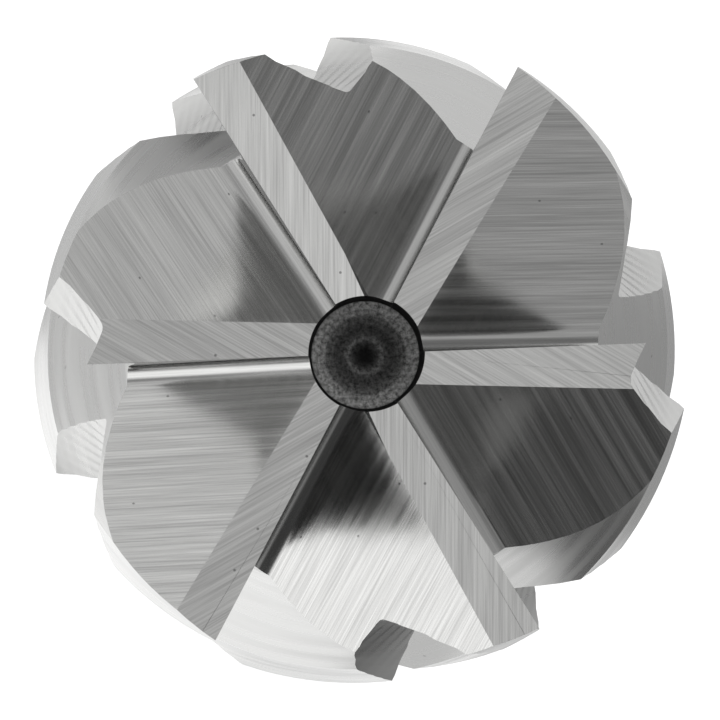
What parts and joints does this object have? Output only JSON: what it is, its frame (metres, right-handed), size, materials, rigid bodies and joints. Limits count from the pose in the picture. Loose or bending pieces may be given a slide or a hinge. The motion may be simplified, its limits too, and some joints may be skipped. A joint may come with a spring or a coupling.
{
  "type": "carbide burr",
  "caption": "Solid carbide burr with a cylindrical end-cutting head, helical flutes crossed by chip-breaking grooves, end teeth around a centre hole, and a plain round shank.",
  "frame": {"origin": "centre of the flat end of the shank", "axes": "+Z along the tool's axis towards the cutting end, +X through the cutting edge of one end tooth"},
  "size_m": [0.012, 0.012, 0.05],
  "materials": {
    "carbide": "ground sintered tungsten carbide, bright on the ground faces and dull in the centre hole"
  },
  "bodies": {
    "root": {"burr": "carbide"}
  },
  "joints": []
}
